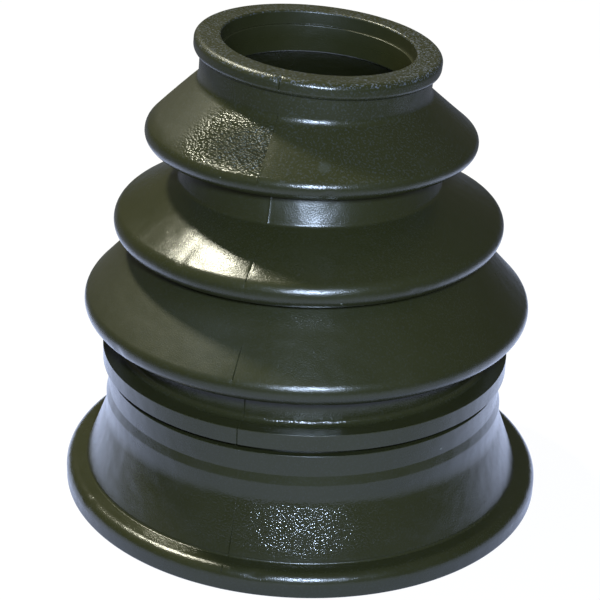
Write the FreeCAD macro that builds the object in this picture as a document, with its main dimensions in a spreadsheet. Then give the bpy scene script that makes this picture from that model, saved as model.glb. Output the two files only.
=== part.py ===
"""Moulded rubber bellows boot: a flared foot, three folds and a collar, turned about +Z.

The origin is the centre of the foot's flat lower face. One sketched section holds both skins
of the wall with their rounded corners, and it is turned into a single solid.
"""
import FreeCAD, Part
import math
import os

import Sketcher

# Driving dimensions in millimetres: a height or rise is measured from the corner or crest below,
# and a reach, wall or depth across from the corner that ACROSS names
SIZES = {
    # Foot: the bore that grips the housing, the skirt that flares out and the rim that it stands on
    "foot_bore_radius": 41.6,
    "foot_bore_round": 0.8,
    "foot_wall": 3.2,
    "throat_wall": 3.9,
    "throat_height": 3.9,
    "throat_blend": 7.0,
    "skirt_reach": 4.6,
    "skirt_height": 11.7,
    "skirt_edge_height": 0.6,
    "land_width": 4.9,
    "rim_height": 5.4,
    "rim_round": 2.5,
    "rim_base_round": 0.6,
    "shoulder_height": 2.0,
    "shoulder_round": 1.5,
    # Two raised bands with a narrow slot between them
    "lower_band_setback": 0.6,
    "lower_band_height": 4.8,
    "slot_width": 1.8,
    "slot_depth": 1.6,
    "upper_band_reach": 1.2,
    "upper_band_height": 3.8,
    # Clamp groove of the large end
    "groove_depth": 4.6,
    "groove_width": 5.5,
    "groove_round": 1.3,
    "groove_wall": 2.6,
    # Folds: a crest is placed by its centre, and its core is the radius of the wall's inner skin
    "fold_wall": 2.0,
    "lower_crest_reach": 5.25,
    "lower_crest_rise": 5.9,
    "lower_crest_core": 1.25,
    "lower_valley_reach": 0.6,
    "lower_valley_rise": 14.8,
    "lower_root_reach": 7.6,
    "lower_root_rise": 2.6,
    "lower_root_round": 0.7,
    "middle_crest_reach": 3.75,
    "middle_crest_rise": 1.6,
    "middle_crest_core": 0.95,
    "middle_valley_reach": 2.2,
    "middle_valley_rise": 9.1,
    "middle_root_reach": 6.4,
    "middle_root_rise": 6.5,
    "middle_root_round": 0.9,
    "upper_crest_reach": 7.1,
    "upper_crest_rise": 4.0,
    "upper_crest_core": 0.5,
    "valley_round": 0.8,
    # Collar: the bore below a shallow mouth, the clamp seat outside and the lip
    "bore_radius": 20.2,
    "bore_length": 6.0,
    "bore_end_reach": 1.55,
    "mouth_clearance": 0.6,
    "mouth_depth": 3.1,
    "mouth_round": 0.5,
    "collar_wall": 4.8,
    "collar_foot_rise": 11.0,
    "clamp_seat_width": 5.5,
    "lip_reach": 1.5,
    "lip_height": 3.8,
    "lip_round": 1.4,
    "lip_flat": 0.1,
    # The largest share of a wall's height that a round on it takes up
    "round_share": 0.48,
}

# Outer skin from the rim up, over the lip and into the bore: corner, the line to it, and its rise
SKIN = (
    ("rim_top", "upright", "rim_height"),
    ("land_edge", "level", None),
    ("skirt_edge", "upright", "skirt_edge_height"),
    ("throat_base", "slope", "skirt_height"),
    ("throat_top", "upright", "throat_height"),
    ("lower_band_base", "slope", "shoulder_height"),
    ("lower_band_top", "upright", "lower_band_height"),
    ("slot_base", "level", None),
    ("slot_top", "upright", "slot_width"),
    ("upper_band_base", "level", None),
    ("upper_band_top", "upright", "upper_band_height"),
    ("groove_base", "level", None),
    ("groove_top", "upright", "groove_width"),
    ("lower_crest", "slope", "lower_crest_rise"),
    ("lower_valley", "slope", "lower_valley_rise"),
    ("lower_root", "slope", "lower_root_rise"),
    ("middle_crest", "slope", "middle_crest_rise"),
    ("middle_valley", "slope", "middle_valley_rise"),
    ("middle_root", "slope", "middle_root_rise"),
    ("upper_crest", "slope", "upper_crest_rise"),
    ("collar_foot", "slope", "collar_foot_rise"),
    ("collar_top", "upright", "clamp_seat_width"),
    ("lip_base", "level", None),
    ("lip_top", "upright", "lip_height"),
    ("mouth_edge", "level", None),
    ("mouth_floor", "upright", "-mouth_depth"),
    ("bore_top", "level", None),
    ("bore_base", "upright", "-bore_length"),
)

# Where a corner lies across the section: the corner that it is measured from, and how far outwards
ACROSS = {
    "foot_bore": ("axis", "foot_bore_radius"),
    "throat_base": ("foot_bore", "throat_wall"),
    "skirt_edge": ("throat_base", "skirt_reach"),
    "rim_base": ("skirt_edge", "land_width"),
    "lower_band_base": ("throat_base", "-lower_band_setback"),
    "slot_base": ("lower_band_base", "-slot_depth"),
    "upper_band_base": ("lower_band_base", "upper_band_reach"),
    "groove_base": ("upper_band_base", "-groove_depth"),
    "groove_bore": ("groove_base", "-groove_wall"),
    "lower_crest": ("groove_base", "lower_crest_reach"),
    "bore_base": ("axis", "bore_radius"),
    "bore_end": ("bore_base", "bore_end_reach"),
    "middle_root": ("bore_base", "middle_root_reach"),
    "upper_crest": ("middle_root", "upper_crest_reach"),
    "middle_valley": ("middle_root", "middle_valley_reach"),
    "lower_root": ("middle_valley", "lower_root_reach"),
    "middle_crest": ("lower_root", "middle_crest_reach"),
    "lower_valley": ("lower_root", "lower_valley_reach"),
    "collar_foot": ("bore_base", "collar_wall"),
    "lip_top": ("collar_foot", "lip_reach"),
    "mouth_floor": ("bore_base", "mouth_clearance"),
}

CRESTS = ("lower_crest", "middle_crest", "upper_crest")

# The sketch's numbers for a line's ends, an arc's centre, the origin and the level axis
START_INDEX, END_INDEX, CENTRE_INDEX = 1, 2, 3
ORIGIN_INDEX = (-1, 1)
AXIS_INDEX = -1
LEVEL = FreeCAD.Vector(1, 0, 0)
UPRIGHT = FreeCAD.Vector(0, 1, 0)
FULL_TURN = 360.0

doc = FreeCAD.newDocument("bellows_boot")
sheet = doc.addObject("Spreadsheet::Sheet", "Sizes")
for row, (alias, value) in enumerate(SIZES.items(), start=1):
    sheet.set("A%d" % row, alias)
    sheet.set("B%d" % row, str(value))
    sheet.setAlias("B%d" % row, alias)
doc.recompute()


def size(alias):
    """A driving dimension as the sheet holds it."""
    return float(sheet.get(alias))


def signed_size(alias):
    """A dimension as a step up or outwards: none is no step, and a leading minus turns it round."""
    if alias is None:
        return 0.0
    if alias.startswith("-"):
        return -size(alias[1:])
    return size(alias)


def radius_of(corner):
    """How far a corner lies from the axis: one that ACROSS leaves out is above or below its neighbour."""
    if corner == "axis":
        return 0.0
    if corner in ACROSS:
        start, reach = ACROSS[corner]
        return radius_of(start) + signed_size(reach)
    names = ["rim_base"] + [name for name, line, rise in SKIN]
    here = names.index(corner)
    upright = SKIN[here - 1][1] == "upright"
    return radius_of(names[here - 1] if upright else names[here + 1])


def tangent_point(point, centre, radius, side):
    """Where a line from point touches a circle that it passes on one side or the other."""
    reach = centre - point
    angle = math.atan2(reach.y, reach.x) + side * math.asin(radius / reach.Length)
    length = math.sqrt(reach.Length ** 2 - radius ** 2)
    return point + FreeCAD.Vector(length * math.cos(angle), length * math.sin(angle), 0)


def crossing(first, second):
    """Where two lines cross, each given as a point on it and its direction."""
    (a, u), (b, v) = first, second
    share = ((b.x - a.x) * v.y - (b.y - a.y) * v.x) / (u.x * v.y - u.y * v.x)
    return a + u * share


def inward(direction, distance):
    """A step square to a line of the outer skin, into the wall."""
    step = FreeCAD.Vector(-direction.y, direction.x, 0)
    return step.normalize() * distance


class Section:
    """A fully constrained sketch of the wall, with x as the radius and y as the height."""

    def __init__(self, body):
        self.sketch = body.newObject("Sketcher::SketchObject", "Section")
        planes = [item for item in body.Origin.OriginFeatures if item.Role == "XZ_Plane"]
        self.sketch.AttachmentSupport = [(planes[0], "")]
        self.sketch.MapMode = "FlatFace"
        self.spots = {"axis": ORIGIN_INDEX}
        self.lines = {}
        self.arcs = {}
        self.cores = []

    def line(self, name, start, end):
        index = self.sketch.addGeometry(Part.LineSegment(start, end), False)
        self.lines[name] = index
        self.spots[name] = (index, END_INDEX)
        return index

    def arc(self, name, centre, radius, low, high):
        circle = Part.Circle(centre, FreeCAD.Vector(0, 0, 1), radius)
        angles = [math.atan2(end.y - centre.y, end.x - centre.x) for end in (low, high)]
        index = self.sketch.addGeometry(Part.ArcOfCircle(circle, *angles), False)
        self.arcs[name] = index
        self.spots[name] = (index, CENTRE_INDEX)
        return index

    def tie(self, kind, *items):
        self.sketch.addConstraint(Sketcher.Constraint(kind, *items))

    def measure(self, name, kind, *items, expression):
        index = self.sketch.addConstraint(Sketcher.Constraint(kind, *items))
        self.sketch.renameConstraint(index, name)
        self.sketch.setExpression("Constraints." + name, expression)

    def measure_step(self, alias, kind, start, end):
        """Ties the step between two spots to the sheet, turned round where its name has a minus."""
        if alias.startswith("-"):
            start, end = end, start
        name = alias.lstrip("-")
        self.measure(name, kind, *start, *end, size(name), expression="Sizes." + name)

    def course(self, name):
        """The direction of a named line."""
        line = self.sketch.Geometry[self.lines[name]]
        return line.EndPoint - line.StartPoint


def crest_round(name):
    return size("fold_wall") + size(name + "_core")


def lay_out_skin():
    """The corners of the outer skin and the centres of its crests, as named points."""
    points = {"rim_base": FreeCAD.Vector(radius_of("rim_base"), 0, 0)}
    height = 0.0
    for name, line, rise in SKIN:
        height += signed_size(rise)
        points[name] = FreeCAD.Vector(radius_of(name), height, 0)
    return points


def draw_skin(section, points):
    """The outer skin: straight lines from corner to corner, and an arc round each crest."""
    names = ["rim_base"] + [name for name, line, rise in SKIN]
    for before, name, after in zip(names, names[1:], names[2:] + [None]):
        if name in CRESTS:
            low = tangent_point(points[before], points[name], crest_round(name), -1)
            high = tangent_point(points[after], points[name], crest_round(name), 1)
            underside = section.line(name + "_underside", points[before], low)
            arc = section.arc(name, points[name], crest_round(name), low, high)
            section.tie("Coincident", *section.spots[before], underside, START_INDEX)
            section.tie("Tangent", underside, END_INDEX, arc, START_INDEX)
        elif before in CRESTS:
            arc = section.arcs[before]
            start = section.sketch.getPoint(arc, END_INDEX)
            flank = section.line(name, start, points[name])
            section.tie("Tangent", arc, END_INDEX, flank, START_INDEX)
        else:
            line = section.line(name, points[before], points[name])
            if before == "rim_base":
                section.spots["rim_base"] = (line, START_INDEX)
            else:
                section.tie("Coincident", *section.spots[before], line, START_INDEX)


def measure_skin(section):
    """Ties the lines, rises and crests of the outer skin to the sheet."""
    section.tie("PointOnObject", *section.spots["rim_base"], AXIS_INDEX)
    before = "rim_base"
    for name, line, rise in SKIN:
        spot = section.spots[name]
        if line == "level":
            section.tie("Horizontal", section.lines[name])
        elif line == "upright":
            section.tie("Vertical", section.lines[name])
        if rise:
            section.measure_step(rise, "DistanceY", section.spots[before], spot)
        if name in CRESTS:
            section.measure(name + "_round", "Radius", section.arcs[name], crest_round(name),
                            expression="Sizes.fold_wall + Sizes.%s_core" % name)
        before = name


def measure_across(section):
    """Ties each corner that ACROSS names to the one that it is measured from."""
    for name, (start, reach) in ACROSS.items():
        section.measure_step(reach, "DistanceX", section.spots[start], section.spots[name])


def lay_out_lining(section, points):
    """The lines of the inner skin from the bore down: name, point, direction and the line it follows."""
    bore_end = FreeCAD.Vector(radius_of("bore_end"), points["bore_base"].y, 0)
    lining = [("bore_end", bore_end, LEVEL, "level")]
    for crest, above, root in (("upper_crest", None, "middle_root"),
                               ("middle_crest", "middle_valley", "lower_root"),
                               ("lower_crest", "lower_valley", None)):
        centre = points[crest]
        core = size(crest + "_core")
        share = core / crest_round(crest)
        arc = section.arcs[crest]
        if above:
            high = centre + (section.sketch.getPoint(arc, END_INDEX) - centre) * share
            course = section.course(above)
        else:
            high = tangent_point(bore_end, centre, core, 1)
            course = bore_end - high
        low = centre + (section.sketch.getPoint(arc, START_INDEX) - centre) * share
        lining.append((crest + "_lining_flank", high, course, above))
        underside = crest + "_underside"
        lining.append((crest + "_lining_underside", low, section.course(underside), underside))
        if root:
            course = section.course(root)
            lining.append((root + "_lining", points[root] + inward(course, size("fold_wall")), course, root))
    groove_bore = FreeCAD.Vector(radius_of("groove_bore"), 0, 0)
    shoulder = points["groove_base"] - UPRIGHT * size("groove_wall")
    foot_bore = FreeCAD.Vector(radius_of("foot_bore"), 0, 0)
    course = section.course("throat_base")
    skirt = points["skirt_edge"] + inward(course, size("foot_wall"))
    lining.append(("groove_bore", groove_bore, UPRIGHT, "upright"))
    lining.append(("foot_shoulder", shoulder, LEVEL, "level"))
    lining.append(("foot_bore", foot_bore, UPRIGHT, "upright"))
    lining.append(("skirt_lining", skirt, course, "throat_base"))
    lining.append(("foot_face", FreeCAD.Vector(0, 0, 0), LEVEL, "level"))
    return lining


def draw_lining(section, points):
    """The inner skin, parallel to the outer one round the folds and plain in the foot."""
    lining = lay_out_lining(section, points)
    start = points["bore_base"]
    spot = section.spots["bore_base"]
    for here, following in zip(lining, lining[1:] + [None]):
        name, point, course, guide = here
        crest = name.replace("_lining_flank", "")
        if following is None:
            end = points["rim_base"]
        elif crest in CRESTS:
            end = point
        else:
            end = crossing((point, course), following[1:3])
        line = section.line(name, start, end)
        section.tie("Tangent" if spot[0] in section.cores else "Coincident", *spot, line, START_INDEX)
        if guide == "level":
            section.tie("Horizontal", line)
        elif guide == "upright":
            section.tie("Vertical", line)
        elif guide:
            section.tie("Parallel", section.lines[guide], line)
        start = end
        spot = (line, END_INDEX)
        if crest in CRESTS:
            start = following[1]
            core = section.arc(crest + "_core", points[crest], size(crest + "_core"), start, end)
            section.cores.append(core)
            section.tie("Tangent", *spot, core, END_INDEX)
            section.tie("Coincident", *section.spots[crest], core, CENTRE_INDEX)
            section.measure(crest + "_core", "Radius", core, size(crest + "_core"),
                            expression="Sizes.%s_core" % crest)
            spot = (core, START_INDEX)
    section.tie("Coincident", *spot, *section.spots["rim_base"])


def measure_lining(section):
    """Ties the inner skin's own lines to the sheet."""
    for root in ("lower_root", "middle_root"):
        section.measure(root + "_wall", "Distance", *section.spots[root], section.lines[root + "_lining"],
                        size("fold_wall"), expression="Sizes.fold_wall")
    section.measure("foot_wall", "Distance", *section.spots["skirt_edge"], section.lines["skirt_lining"],
                    size("foot_wall"), expression="Sizes.foot_wall")
    section.measure("shoulder_wall", "DistanceY", *section.spots["groove_bore"],
                    *section.spots["groove_base"], size("groove_wall"), expression="Sizes.groove_wall")


# Rounded corners of the section: the round's size, and the corners that have it
ROUNDS = (
    ("min(Sizes.rim_round; Sizes.round_share * Sizes.rim_height)", ["rim_top"]),
    ("Sizes.rim_base_round", ["rim_base"]),
    ("Sizes.throat_blend", ["throat_base", "foot_bore"]),
    ("Sizes.shoulder_round", ["throat_top"]),
    ("min(Sizes.groove_round; Sizes.round_share * Sizes.groove_width)", ["groove_base", "groove_top"]),
    ("Sizes.groove_round + Sizes.groove_wall", ["lower_crest_lining_underside"]),
    ("min(Sizes.foot_bore_round; Sizes.round_share * Sizes.groove_wall)", ["groove_bore", "foot_shoulder"]),
    ("Sizes.valley_round", ["lower_valley", "middle_valley", "collar_foot"]),
    ("Sizes.valley_round + Sizes.fold_wall", ["lower_root_lining", "middle_root_lining"]),
    ("Sizes.lower_root_round", ["lower_root"]),
    ("Sizes.lower_root_round + Sizes.fold_wall", ["middle_crest_lining_underside"]),
    ("Sizes.middle_root_round", ["middle_root"]),
    ("Sizes.middle_root_round + Sizes.fold_wall", ["upper_crest_lining_underside"]),
    ("min(Sizes.lip_round; Sizes.round_share * Sizes.lip_height; Sizes.lip_reach - Sizes.lip_flat)",
     ["lip_base"]),
    ("min(Sizes.lip_round; Sizes.round_share * Sizes.lip_height)", ["lip_top"]),
    ("Sizes.mouth_round", ["mouth_edge"]),
    ("min(Sizes.mouth_round; Sizes.round_share * Sizes.bore_end_reach)", ["bore_end", "bore_base"]),
)


def round_corners(section):
    """Puts an arc at each rounded corner, and keeps the corner itself as a measured point."""
    for expression, names in ROUNDS:
        radius = section.sketch.evalExpression(expression)
        for name in names:
            section.sketch.fillet(*section.spots[name], radius, True, True)
            arc = section.sketch.GeometryCount - 2
            section.measure(name + "_round", "Radius", arc, radius, expression=expression)


def make_boot():
    """The whole boot: its rounded section, turned once round the axis."""
    body = doc.addObject("PartDesign::Body", "bellows_boot")
    body.Label = "bellows_boot"
    body.Placement = FreeCAD.Placement()
    section = Section(body)
    points = lay_out_skin()
    draw_skin(section, points)
    draw_lining(section, points)
    measure_skin(section)
    measure_across(section)
    measure_lining(section)
    doc.recompute()
    round_corners(section)
    doc.recompute()
    if section.sketch.solve() != 0 or not section.sketch.FullyConstrained:
        raise RuntimeError("the section isn't fully constrained")
    turned = body.newObject("PartDesign::Revolution", "Turned")
    turned.Profile = section.sketch
    turned.ReferenceAxis = (section.sketch, ["V_Axis"])
    turned.Angle = FULL_TURN
    return body


def check(body):
    """Stops if any object failed or the boot isn't one sound solid."""
    for item in doc.Objects:
        if "Invalid" in item.State or "Error" in item.State:
            raise RuntimeError("%s failed: %s" % (item.Name, item.State))
    if body.Shape.isNull() or not body.Shape.isValid() or len(body.Shape.Solids) != 1:
        raise RuntimeError("the boot isn't one valid solid")


boot = make_boot()
doc.recompute()
check(boot)
os.makedirs("parts", exist_ok=True)
boot.Shape.exportStep("parts/bellows_boot.step")
box = boot.Shape.BoundBox
print("volume %.1f mm3, height %.2f mm, width %.2f mm" % (boot.Shape.Volume, box.ZLength, box.XLength))
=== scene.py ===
"""Looks of the moulded rubber bellows boot: its skin, its small marks, the floor, the lights and the camera.

Lengths in the tables are millimetres, in the part's own frame: +Z up the axis, origin under the foot.
Azimuths are degrees round the boot from the camera's side, positive to the picture's right.
"""

import math

import bmesh
import bpy
from mathutils import Matrix, Vector, noise


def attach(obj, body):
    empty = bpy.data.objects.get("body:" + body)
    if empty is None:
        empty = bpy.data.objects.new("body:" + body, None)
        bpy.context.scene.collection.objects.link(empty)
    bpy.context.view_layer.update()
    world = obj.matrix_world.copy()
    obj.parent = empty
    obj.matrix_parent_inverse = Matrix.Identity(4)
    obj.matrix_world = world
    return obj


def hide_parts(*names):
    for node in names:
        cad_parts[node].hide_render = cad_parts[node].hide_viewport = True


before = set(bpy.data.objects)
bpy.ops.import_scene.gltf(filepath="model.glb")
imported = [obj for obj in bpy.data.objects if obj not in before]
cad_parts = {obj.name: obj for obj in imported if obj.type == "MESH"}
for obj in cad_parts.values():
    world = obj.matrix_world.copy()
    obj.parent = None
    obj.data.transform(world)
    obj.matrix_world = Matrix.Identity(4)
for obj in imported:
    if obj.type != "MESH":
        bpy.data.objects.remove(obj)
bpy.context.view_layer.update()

MM = 0.001
UP = Vector((0.0, 0.0, 1.0))
OUTWARDS = Vector((1.0, 0.0, 0.0))

# Outer skin of the foot from the rim up: radius, height and round of each corner
FOOT = (
    (55.0, 0.0, 0.6),
    (55.0, 5.4, 2.5),
    (50.1, 5.4, 0.5),
    (50.1, 6.0, 0.2),
    (45.5, 17.7, 7.0),
    (45.5, 21.6, 1.5),
    (44.9, 23.6, 0.3),
    (44.9, 28.4, 0.15),
    (43.3, 28.4, 0.0),
    (43.3, 30.2, 0.0),
    (46.1, 30.2, 0.15),
    (46.1, 34.0, 0.15),
    (41.5, 34.0, 1.3),
    (41.5, 39.5, 1.3),
)
SKIRT_FOOT, SKIRT_TOP = 3, 4
# Folds from the lowest up: the crest's radius, height and round, then the corners of the valley above it
FOLDS = (
    ((50.0, 45.4, 3.25), ((37.0, 60.2, 0.8), (36.4, 62.8, 0.7))),
    ((43.1, 64.4, 2.95), ((28.8, 73.5, 1.3), (26.6, 80.0, 0.9))),
    ((36.2, 84.0, 2.5), ((25.0, 95.0, 2.6),)),
)
# Collar from its foot up, over the lip and down into the bore
COLLAR = (
    (25.0, 100.5, 0.0),
    (26.5, 100.5, 1.4),
    (26.5, 104.3, 1.4),
    (20.8, 104.3, 0.5),
    (20.8, 101.2, 0.0),
    (20.2, 101.2, 0.2),
    (20.2, 95.2, 0.5),
)
# Inner skin: walls, bores, and the rounds under the collar and from the groove's wall down to the foot's face
FOLD_WALL = 2.0
FOOT_WALL = 3.2
GROOVE_BORE = 38.9
SHOULDER_HEIGHT = 31.4
FOOT_BORE = 41.6
UNDER_COLLAR_ROUND = 0.5
FOOT_INNER_ROUNDS = (3.9, 0.8, 0.8, 7.0, 0.0)

# How finely the skin is drawn: steps round the axis, steps of the arcs, and the longest straight stretch
TURN_STEPS = 300
ARC_STEP = math.radians(9.0)
INNER_ARC_STEP = math.radians(18.0)
SMALL_ARC_STEP = math.radians(22.5)
SMALL_ROUND = 1.0
STRETCH = 3.5
MERGE = 0.0005
SHARP = math.radians(35.0)

# Mould's parting line at x = 0: half its width, how far out the skin beside it is cut to stay flat,
# how much its height varies, and how far it stands out (or is cut in) between two heights
SEAM_HALF_WIDTH = 0.14
SEAM_MARGIN = 1.2
SEAM_MEAN, SEAM_SWING, SEAM_WAVES = 0.8, 0.5, 0.5
SEAM = (
    (0.0, 3.6, 0.03),
    (3.6, 5.6, -0.18),
    (6.0, 12.0, -0.22),
    (12.0, 18.0, 0.08),
    (18.0, 28.4, 0.06),
    (30.2, 34.2, -0.25),
    (34.2, 39.6, 0.16),
    (43.5, 47.4, -0.05),
    (47.4, 51.6, -0.3),
    (63.0, 66.6, -0.04),
    (66.6, 69.6, -0.26),
    (73.6, 79.6, 0.1),
    (84.0, 87.2, 0.16),
    (94.4, 96.0, 0.2),
    (96.0, 100.4, 0.07),
    (101.6, 104.2, -0.4),
)

# Small nicks: azimuth, radius and height of the place, then the nick's reach and depth
NICKS = (
    (-9.0, 54.1, 4.9, 1.3, 0.35),
    (-59.5, 54.1, 4.9, 1.8, 0.3),
    (-52.0, 49.9, 44.4, 1.6, 0.3),
    (6.0, 36.1, 83.0, 1.4, 0.3),
    (-38.5, 41.8, 66.9, 1.2, 0.2),
    (31.0, 42.9, 63.6, 1.3, 0.25),
    (-17.5, 26.2, 103.7, 1.0, 0.3),
)

# How the soft boot leans: height, then tilt to the picture's right and towards the camera, in radians
LEAN = (
    (36.3, 0.0, 0.0),
    (64.35, -0.0101, 0.0223),
    (84.15, 0.0073, 0.0009),
    (101.2, 0.0696, 0.0389),
    (106.0, 0.0696, 0.0389),
)

# Outside skin: how far inwards it may face, and the radius that it lies beyond
FACING_IN = -0.3
OUTSIDE_RADIUS = 24.0
# Heights that bound the places with a finish of their own
LOWEST_FOLD = (46.5, 60.0)
UPPER_VALLEY = (74.6, 80.5)
UPPER_FOLD = (85.5, 95.0)
WRINKLED = (85.5, 94.5)
MOUTH_STEP = 100.9
LIP_SIDE = 102.6
LIP_ROUND = 103.4
LIP_TOP = 103.9
# Heights at which the coarse grain starts, is full, fades and ends
SKIRT_GRAIN = (6.2, 7.6, 16.8, 18.6)
GROOVE_GRAIN = (33.4, 33.9, 36.5, 38.0)
# Azimuths at which a finish starts, is full, fades and ends
LOWEST_FOLD_DULL = (-125.0, -100.0, -26.0, -10.0)
UPPER_FOLD_DULL = (-125.0, -100.0, -58.0, -46.0)
LIP_DULL = (-110.0, -90.0, -30.0, -16.0)
LIP_SCUFFED = (10.0, 50.0, 110.0, 150.0)
FOLD_SCUFFED = (-20.0, -5.0, 50.0, 75.0)

# Rubber's colours, and the pale spot: azimuth, radius, height, its core and edge, and how strong it is
BODY_DARK = (0.025, 0.0265, 0.0075, 1.0)
BODY_LIGHT = (0.033, 0.034, 0.0125, 1.0)
SCUFF_COLOUR = (0.15, 0.165, 0.2, 1.0)
DUST_COLOUR = (0.3, 0.31, 0.27, 1.0)
SPOT_COLOUR = (0.12, 0.14, 0.15, 1.0)
SPOT_PLACE = (4.5, 32.8, 88.2)
SPOT_CORE, SPOT_EDGE, SPOT_STRENGTH = 0.6, 1.8, 0.14
# Patterns on the skin: features in a metre, and for the bumps how high they stand in steps of 0.05 mm
BUMP_STEP = 0.05
FINE_GRAIN = (4200.0, 0.75)
SLOW_WAVES = (220.0, 3.2)
PEBBLES = (2500.0, -1.7)
STROKES = (2600.0, -14.0)
STROKE_STRETCH = (0.5, 0.5, 1.15)
BODY_PATCHES = 90.0
SCUFF_GRIT = 2300.0
GRIT_LOW, GRIT_HIGH = 0.48, 0.75
DUST_CELLS = 260.0
DUST_CHOSEN, DUST_REACH = 0.86, 0.06
# Gloss: refraction, roughness with its change over the patches, and what each mask adds to it
RUBBER_IOR = 1.62
ROUGHNESS, PATCH_ROUGHNESS = 0.22, 0.08
MASK_ROUGHNESS = (("dull", 0.35), ("coarse_grain", -0.12), ("wrinkle", 0.06))

# Floor and backdrop, in metres: white to the camera, and a pale blue glow in the boot's gloss,
# which rises from the front of the foot to behind it and fades with the distance from the axis
FLOOR_HALF_SIZE = 3.0
FLOOR_COLOUR = (0.08, 0.08, 0.08, 1.0)
FLOOR_ROUGHNESS = 0.9
WHITE = (1.0, 1.0, 1.0, 1.0)
FLOOR_WHITE = 0.95
MIRRORED_TINT = (0.6, 0.7, 1.0, 1.0)
MIRRORED_RISE = (-0.055, 0.01, 0.7, 1.9)
MIRRORED_FADE = (0.12, 0.235, 1.0, 0.1)
STUDIO_COLOUR = (0.1, 0.103, 0.075, 1.0)

# Lamps: azimuth, elevation, distance and size in metres, power and colour
LAMPS = {
    "flash": (3.0, 27.0, 0.335, 0.03, 1.15, (0.6, 0.75, 1.0)),
    "warm_lamp": (-124.0, 61.0, 0.8, 0.08, 5.8, (1.0, 0.97, 0.78)),
}
LAMP_TARGET = Vector((0.0, 0.0, 0.05))

# Camera, as fitted to the photograph's rings
AZIMUTH = math.radians(17.0)
ELEVATION = 0.4311
ROLL = 0.0355
DISTANCE = 383.6
AIM_RIGHT = -1.45
AIM_HEIGHT = 43.36
FOCAL_PIXELS = 1686.8
PICTURE_PIXELS = 600
SENSOR = 36.0
CLIP_START = 0.01

RIGHT = Vector((math.cos(AZIMUTH), math.sin(AZIMUTH), 0.0))
AWAY = Vector((-math.sin(AZIMUTH), math.cos(AZIMUTH), 0.0))


def flat(radius, height):
    """A point of the section, with x as the radius and z as the height."""
    return Vector((radius, 0.0, height))


def crossing(first, second):
    """Where two lines of the section cross, each a point and a direction."""
    (a, u), (b, v) = first, second
    share = ((b.x - a.x) * v.z - (b.z - a.z) * v.x) / (u.x * v.z - u.z * v.x)
    return a + u * share


def tangent(point, centre, radius, side):
    """The line from a point that touches a circle on one side or the other."""
    reach = centre - point
    turn = side * math.asin(radius / reach.length)
    return point, Matrix.Rotation(-turn, 3, "Y") @ reach


def crest_corner(before, crest, after):
    """The sharp corner where a crest's two flanks would meet."""
    radius, height, size = crest
    centre = flat(radius - size, height)
    return crossing(tangent(before, centre, size, -1), tangent(after, centre, size, 1))


def parallel(start, end, distance):
    """A line inside the wall, parallel to the outer skin from start to end."""
    course = (end - start).normalized()
    return start + Vector((-course.z, 0.0, course.x)) * distance, course


def outer_corners():
    """The outer skin's sharp corners from the rim up and into the bore, each with its round."""
    corners = [(flat(r, z), size) for r, z, size in FOOT]
    for crest, valley in FOLDS:
        apex = crest_corner(corners[-1][0], crest, flat(*valley[0][:2]))
        corners.append((apex, crest[2]))
        corners += [(flat(r, z), size) for r, z, size in valley]
    return corners + [(flat(r, z), size) for r, z, size in COLLAR]


def inner_corners(outer):
    """The inner skin's corners from below the bore down to the foot's face, each with its round."""
    points = [corner for corner, size in outer]
    first = len(FOOT)
    last = len(outer) - len(COLLAR) - 1
    lines = [(points[-1], OUTWARDS)]
    for index in range(last, first - 1, -1):
        lines.append(parallel(points[index - 1], points[index], FOLD_WALL))
    lines.append((flat(GROOVE_BORE, 0.0), UP))
    lines.append((flat(0.0, SHOULDER_HEIGHT), OUTWARDS))
    lines.append((flat(FOOT_BORE, 0.0), UP))
    lines.append(parallel(points[SKIRT_FOOT], points[SKIRT_TOP], FOOT_WALL))
    lines.append((flat(0.0, 0.0), OUTWARDS))
    rounds = [UNDER_COLLAR_ROUND]
    for index in range(last - 1, first - 1, -1):
        bend = (points[index] - points[index - 1]).cross(points[index + 1] - points[index]).y
        size = outer[index][1]
        rounds.append(size + FOLD_WALL if bend > 0 else size - FOLD_WALL)
    rounds += FOOT_INNER_ROUNDS
    return [(crossing(a, b), size) for a, b, size in zip(lines, lines[1:], rounds)]


def draw_corner(bm, before, corner, after, size, step):
    """The corner's vertices: one where it is sharp, or an arc swept round its centre."""
    if size == 0.0:
        return [bm.verts.new(corner)]
    back = (before - corner).normalized()
    ahead = (after - corner).normalized()
    half = back.angle(ahead) / 2
    start = corner + back * (size / math.tan(half))
    centre = corner + (back + ahead).normalized() * (size / math.sin(half))
    turn = math.pi - 2 * half
    steps = max(2, math.ceil(turn / (SMALL_ARC_STEP if size < SMALL_ROUND else step)))
    known = len(bm.verts)
    bmesh.ops.spin(bm, geom=[bm.verts.new(start)], cent=centre, axis=back.cross(ahead).normalized(),
                   angle=-turn, steps=steps, use_merge=False)
    bm.verts.ensure_lookup_table()
    return bm.verts[known:]


def draw_section(bm):
    """The closed outline of the wall's section, with long stretches divided."""
    outer = outer_corners()
    corners = outer + inner_corners(outer)
    runs = []
    for index, (corner, size) in enumerate(corners):
        before = corners[index - 1][0]
        after = corners[(index + 1) % len(corners)][0]
        step = ARC_STEP if index < len(outer) else INNER_ARC_STEP
        runs.append(draw_corner(bm, before, corner, after, size, step))
    for run, following in zip(runs, runs[1:] + runs[:1]):
        start, end = run[-1], following[0]
        parts = 1 + int((end.co - start.co).length / STRETCH)
        between = [bm.verts.new(start.co.lerp(end.co, part / parts)) for part in range(1, parts)]
        for pair in zip([start] + between, between + [end]):
            bm.edges.new(pair)


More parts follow.
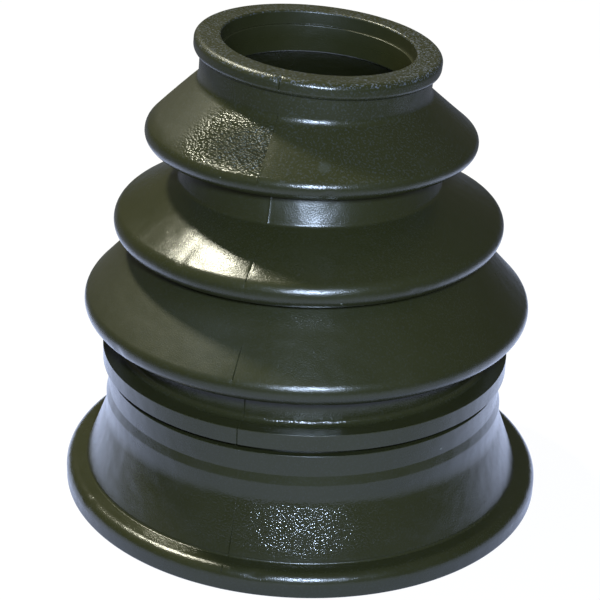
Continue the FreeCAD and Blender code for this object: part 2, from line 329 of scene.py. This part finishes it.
def spin_wall(bm):
    """Spins the section round the axis, and cuts the skin along and beside the parting line."""
    bmesh.ops.spin(bm, geom=bm.verts[:] + bm.edges[:], cent=(0, 0, 0), axis=UP,
                   angle=math.tau, steps=TURN_STEPS, use_merge=True)
    bmesh.ops.remove_doubles(bm, verts=bm.verts[:], dist=MERGE)
    bmesh.ops.recalc_face_normals(bm, faces=bm.faces[:])
    for offset in (-SEAM_MARGIN, -SEAM_HALF_WIDTH, 0.0, SEAM_HALF_WIDTH, SEAM_MARGIN):
        bmesh.ops.bisect_plane(bm, geom=bm.verts[:] + bm.edges[:] + bm.faces[:], dist=MERGE,
                               plane_co=(offset, 0, 0), plane_no=OUTWARDS)
    bm.normal_update()


def lean_at(height):
    """Tilt to the right and to the front at a height, and how far the axis has moved there."""
    tilt = [0.0, 0.0]
    shift = [0.0, 0.0]
    for (low, *from_tilt), (high, *to_tilt) in zip(LEAN, LEAN[1:]):
        if height <= low:
            break
        share = min(1.0, (height - low) / (high - low))
        for side in (0, 1):
            tilt[side] = from_tilt[side] + share * (to_tilt[side] - from_tilt[side])
            shift[side] += (from_tilt[side] + tilt[side]) / 2 * share * (high - low)
    return tilt, shift


def lean(point):
    """Moves a point of the upright boot to where the soft boot has it."""
    (right_tilt, front_tilt), (right_shift, front_shift) = lean_at(point.z)
    across = point.dot(RIGHT)
    away = point.dot(AWAY)
    rise = -across * math.sin(right_tilt) + away * math.sin(front_tilt)
    return point + RIGHT * right_shift - AWAY * front_shift + UP * rise


def around(azimuth, radius, height):
    """The point of the upright boot at an azimuth, radius and height."""
    turn = math.radians(azimuth)
    return (RIGHT * math.sin(turn) - AWAY * math.cos(turn)) * radius + UP * height


def azimuth_at(point):
    return math.degrees(math.atan2(point.dot(RIGHT), -point.dot(AWAY)))


def seam_at(point):
    """How far the parting line stands out at a point."""
    for low, high, amount in SEAM:
        if low <= point.z <= high:
            return amount * (SEAM_MEAN + SEAM_SWING * noise.noise(point * SEAM_WAVES))
    return 0.0


def between(value, limits):
    low, high = limits
    return low < value < high


def ramp(value, low, high):
    """Rises from 0 at low to 1 at high, also where high is the smaller."""
    return min(1.0, max(0.0, (value - low) / (high - low)))


def window(value, limits):
    """1 in the middle of four limits, with a ramp at each side."""
    starts, full, fades, ends = limits
    return ramp(value, starts, full) * ramp(value, ends, fades)


def coarse_grain_at(point, radius, azimuth):
    """How coarse the moulded grain is: most on the front of the skirt and groove, and on the lip's top."""
    skirt = window(point.z, SKIRT_GRAIN)
    groove = 0.6 * window(point.z, GROOVE_GRAIN) * ramp(radius, 45.5, 44.5)
    front = 0.1 + 0.9 * ramp(abs(azimuth + 1.0), 30.0, 8.0)
    lip = 0.35 * ramp(point.z, 103.0, 104.0)
    return max(skirt * front, groove * front, lip)


def wrinkle_at(point, radius, azimuth):
    """Where the upper fold's left side has its finely wrinkled skin, up to the parting line."""
    if point.x > 0.0 or azimuth > 0.0 or not between(point.z, WRINKLED):
        return 0.0
    return ramp(azimuth, -56.0, -26.0) * ramp(radius, 35.6, 34.2) * ramp(radius, 25.5, 30.0)


def dull_at(point, radius, azimuth):
    """Where the skin is duller: round the mouth, in the upper valley and on the left of two folds."""
    if point.z > MOUTH_STEP and radius < 21.5:
        return 0.35
    if point.z > LIP_SIDE:
        left = 0.45 * window(azimuth, LIP_DULL) * ramp(point.z, LIP_SIDE, 103.2)
        return max(left, 0.2 * ramp(point.z, 103.6, 104.2))
    if between(point.z, UPPER_FOLD):
        return window(azimuth, UPPER_FOLD_DULL) * ramp(radius, 35.6, 34.4)
    if between(point.z, UPPER_VALLEY) and radius < 29.5:
        return 0.15
    if between(point.z, LOWEST_FOLD):
        flank = ramp(radius, 38.0, 42.0) * ramp(point.z, 46.5, 48.0)
        return 0.8 * window(azimuth, LOWEST_FOLD_DULL) * flank
    return 0.0


def scuff_at(point, radius, azimuth):
    """How much pale scuffing the skin carries: most on the lip, some on the upper fold and collar."""
    if point.z > LIP_ROUND and radius > 20.5:
        return 0.7 + 0.5 * window(azimuth, LIP_SCUFFED)
    if point.z > 85.0 and radius > OUTSIDE_RADIUS:
        return 0.1 + 0.04 * window(azimuth, FOLD_SCUFFED)
    return 0.05


# Finishes that the material reads from the skin, with the lowest inside height that each reaches
MASKS = {
    "coarse_grain": (coarse_grain_at, LIP_TOP),
    "wrinkle": (wrinkle_at, LIP_TOP),
    "dull": (dull_at, MOUTH_STEP),
    "scuff": (scuff_at, LIP_TOP),
}


def is_outside(vert):
    """Whether a vertex belongs to the outer skin."""
    sideways = Vector((vert.co.x, vert.co.y, 0.0))
    return vert.normal.dot(sideways.normalized()) > FACING_IN and sideways.length > OUTSIDE_RADIUS


def mark_skin(bm):
    """Writes the masks, raises the parting line and presses the nicks in."""
    for name in MASKS:
        bm.verts.layers.float.new(name)
    layers = [(bm.verts.layers.float[name], *mask) for name, mask in MASKS.items()]
    nicks = [(around(*place), reach, depth) for *place, reach, depth in NICKS]
    for vert in bm.verts:
        outside = is_outside(vert)
        radius = Vector(vert.co.xy).length
        azimuth = azimuth_at(vert.co)
        for layer, mask_at, lowest in layers:
            if outside or vert.co.z > lowest:
                vert[layer] = mask_at(vert.co, radius, azimuth)
        if outside and abs(vert.co.x) < 0.01:
            vert.co += vert.normal * seam_at(vert.co)
        for place, reach, depth in nicks:
            share = (vert.co - place).length / reach
            if share < 1.0:
                vert.co -= vert.normal * depth * (1.0 - share * share)


def make_boot():
    """The boot's skin, drawn in millimetres, marked, leaned over and brought to metres."""
    bm = bmesh.new()
    draw_section(bm)
    spin_wall(bm)
    mark_skin(bm)
    for vert in bm.verts:
        vert.co = lean(vert.co) * MM
    mesh = bpy.data.meshes.new("bellows_boot_skin")
    bm.to_mesh(mesh)
    bm.free()
    mesh.shade_smooth()
    mesh.set_sharp_from_angle(angle=SHARP)
    piece = bpy.data.objects.new("bellows_boot_skin", mesh)
    bpy.context.scene.collection.objects.link(piece)
    shading = piece.modifiers.new("even_shading", "WEIGHTED_NORMAL")
    shading.mode = "FACE_AREA"
    shading.keep_sharp = True
    return piece


class Wiring:
    """Adds nodes to one node tree, with a value or a link at each input that is named."""

    def __init__(self, tree):
        self.tree = tree

    def feed(self, socket, value):
        """Links a socket to another node's output, or sets it to a plain value."""
        if isinstance(value, bpy.types.NodeSocket):
            self.tree.links.new(value, socket)
        else:
            socket.default_value = value

    def node(self, kind, inputs=None, **settings):
        """A new node's outputs."""
        made = self.tree.nodes.new("ShaderNode" + kind)
        for name, value in settings.items():
            setattr(made, name, value)
        for name, value in (inputs or {}).items():
            self.feed(made.inputs[name], value)
        return made.outputs

    def math(self, operation, *values):
        return self.node("Math", dict(enumerate(values)), operation=operation)[0]

    def vector_math(self, operation, *values):
        return self.node("VectorMath", dict(enumerate(values)), operation=operation)["Value"]

    def mix(self, factor, first, second):
        return self.node("Mix", {"Factor": factor, "A": first, "B": second}, data_type="RGBA")["Result"]

    def spread(self, value, low, high, to_low=0.0, to_high=1.0, **settings):
        """A value's range from low to high, spread over another range."""
        inputs = {"Value": value, "From Min": low, "From Max": high, "To Min": to_low, "To Max": to_high}
        return self.node("MapRange", inputs, **settings)["Result"]

    def noise(self, where, scale, detail=1.0):
        return self.node("TexNoise", {"Vector": where, "Scale": scale, "Detail": detail})["Fac"]

    def cells(self, where, scale):
        return self.node("TexVoronoi", {"Vector": where, "Scale": scale})

    def domes(self, where, scale):
        """Round hollows side by side, or domes where their height is negative."""
        distance = self.cells(where, scale)["Distance"]
        return self.math("MULTIPLY", distance, distance)


def grain_normal(wiring, place, masks):
    """Fine grain and slow waves all over, pebbles on the coarse places and strokes on the wrinkled one."""
    stretched = wiring.node("Mapping", {"Vector": place, "Scale": STROKE_STRETCH})["Vector"]
    fine = wiring.noise(place, FINE_GRAIN[0])
    waves = wiring.noise(place, SLOW_WAVES[0])
    pebbles = wiring.math("MULTIPLY", wiring.domes(place, PEBBLES[0]), masks["coarse_grain"])
    strokes = wiring.math("MULTIPLY", wiring.domes(stretched, STROKES[0]), masks["wrinkle"])
    height = wiring.math("MULTIPLY", fine, FINE_GRAIN[1])
    height = wiring.math("MULTIPLY_ADD", waves, SLOW_WAVES[1], height)
    height = wiring.math("MULTIPLY_ADD", pebbles, PEBBLES[1], height)
    height = wiring.math("MULTIPLY_ADD", strokes, STROKES[1], height)
    return wiring.node("Bump", {"Strength": 1.0, "Distance": BUMP_STEP * MM, "Height": height})["Normal"]


def dust_specks(wiring, place):
    """A mask of small round specks, each in a cell of its own, in a few of the cells."""
    cells = wiring.cells(place, DUST_CELLS)
    chance = wiring.node("SeparateColor", {"Color": cells["Color"]})
    chosen = wiring.math("GREATER_THAN", chance["Red"], DUST_CHOSEN)
    reach = wiring.math("MULTIPLY", chance["Green"], DUST_REACH)
    near = wiring.math("LESS_THAN", cells["Distance"], reach)
    return wiring.math("MULTIPLY", chosen, near)


def skin_colour(wiring, place, masks, patches):
    """Olive-black body in soft patches, with scuffs, the pale spot and dust on it."""
    grit = wiring.noise(place, SCUFF_GRIT)
    worn = wiring.spread(grit, GRIT_LOW, GRIT_HIGH, interpolation_type="SMOOTHSTEP")
    far = wiring.vector_math("DISTANCE", place, lean(around(*SPOT_PLACE)) * MM)
    spot = wiring.spread(far, SPOT_CORE * MM, SPOT_EDGE * MM, SPOT_STRENGTH, 0.0,
                         interpolation_type="SMOOTHSTEP")
    colour = wiring.mix(patches, BODY_DARK, BODY_LIGHT)
    colour = wiring.mix(wiring.math("MULTIPLY", worn, masks["scuff"]), colour, SCUFF_COLOUR)
    colour = wiring.mix(spot, colour, SPOT_COLOUR)
    return wiring.mix(dust_specks(wiring, place), colour, DUST_COLOUR)


def rubber_material():
    """Black moulded rubber, satin, with the marks of its mould and its use."""
    material = bpy.data.materials.new("moulded_rubber")
    material.use_nodes = True
    shader = material.node_tree.nodes["Principled BSDF"].inputs
    wiring = Wiring(material.node_tree)
    place = wiring.node("TexCoord")["Object"]
    masks = {name: wiring.node("Attribute", attribute_name=name)["Fac"] for name in MASKS}
    patches = wiring.noise(place, BODY_PATCHES, 3.0)
    roughness = wiring.math("MULTIPLY_ADD", patches, PATCH_ROUGHNESS, ROUGHNESS)
    for name, change in MASK_ROUGHNESS:
        roughness = wiring.math("MULTIPLY_ADD", masks[name], change, roughness)
    wiring.feed(shader["Base Color"], skin_colour(wiring, place, masks, patches))
    wiring.feed(shader["Roughness"], roughness)
    wiring.feed(shader["IOR"], RUBBER_IOR)
    wiring.feed(shader["Normal"], grain_normal(wiring, place, masks))
    return material


def floor_material():
    """A grey floor that keeps the boot's shadow, white to the camera and glowing in the boot's gloss."""
    material = bpy.data.materials.new("pale_floor")
    material.use_nodes = True
    shader = material.node_tree.nodes["Principled BSDF"].inputs
    wiring = Wiring(material.node_tree)
    rays = wiring.node("LightPath")
    place = wiring.node("TexCoord")["Object"]
    rise = wiring.spread(wiring.vector_math("DOT_PRODUCT", place, AWAY), *MIRRORED_RISE)
    fade = wiring.spread(wiring.vector_math("LENGTH", place), *MIRRORED_FADE)
    mirrored = wiring.math("MULTIPLY", wiring.math("MULTIPLY", rise, fade), rays["Is Glossy Ray"])
    glow = wiring.math("MULTIPLY_ADD", rays["Is Camera Ray"], FLOOR_WHITE, mirrored)
    wiring.feed(shader["Base Color"], FLOOR_COLOUR)
    wiring.feed(shader["Roughness"], FLOOR_ROUGHNESS)
    wiring.feed(shader["Emission Color"], wiring.mix(rays["Is Camera Ray"], MIRRORED_TINT, WHITE))
    wiring.feed(shader["Emission Strength"], glow)
    return material


def make_floor():
    bm = bmesh.new()
    bmesh.ops.create_grid(bm, x_segments=1, y_segments=1, size=FLOOR_HALF_SIZE)
    mesh = bpy.data.meshes.new("floor")
    bm.to_mesh(mesh)
    bm.free()
    mesh.materials.append(floor_material())
    floor = bpy.data.objects.new("floor", mesh)
    bpy.context.scene.collection.objects.link(floor)
    return floor


def make_world():
    """A dim studio round the boot, white to the camera."""
    world = bpy.data.worlds.new("studio")
    world.use_nodes = True
    wiring = Wiring(world.node_tree)
    rays = wiring.node("LightPath")
    colour = wiring.mix(rays["Is Camera Ray"], STUDIO_COLOUR, WHITE)
    wiring.feed(world.node_tree.nodes["Background"].inputs["Color"], colour)
    bpy.context.scene.world = world


def make_lamp(name, azimuth, elevation, distance, size, power, colour):
    """A square soft lamp that looks at the boot's middle."""
    turn = AZIMUTH + math.radians(azimuth)
    rise = math.radians(elevation)
    direction = Vector((math.sin(turn) * math.cos(rise), -math.cos(turn) * math.cos(rise), math.sin(rise)))
    data = bpy.data.lights.new(name, "AREA")
    data.size = size
    data.energy = power
    data.color = colour
    lamp = bpy.data.objects.new(name, data)
    lamp.location = LAMP_TARGET + direction * distance
    lamp.rotation_euler = direction.to_track_quat("Z", "Y").to_euler()
    bpy.context.scene.collection.objects.link(lamp)


def make_camera():
    forward = AWAY * math.cos(ELEVATION) - UP * math.sin(ELEVATION)
    level_up = RIGHT.cross(forward)
    right = RIGHT * math.cos(ROLL) + level_up * math.sin(ROLL)
    up = level_up * math.cos(ROLL) - RIGHT * math.sin(ROLL)
    place = RIGHT * AIM_RIGHT + UP * AIM_HEIGHT - forward * DISTANCE
    data = bpy.data.cameras.new("camera")
    data.sensor_width = SENSOR
    data.lens = FOCAL_PIXELS / PICTURE_PIXELS * SENSOR
    data.clip_start = CLIP_START
    camera = bpy.data.objects.new("camera", data)
    turned = Matrix((right, up, -forward)).transposed().to_4x4()
    camera.matrix_world = Matrix.Translation(place * MM) @ turned
    bpy.context.scene.collection.objects.link(camera)
    bpy.context.scene.camera = camera


boot = make_boot()
boot.data.materials.append(rubber_material())
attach(boot, "root")
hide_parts("bellows_boot")
make_floor()
make_world()
for name, settings in LAMPS.items():
    make_lamp(name, *settings)
make_camera()
bpy.context.scene.view_settings.view_transform = "Standard"
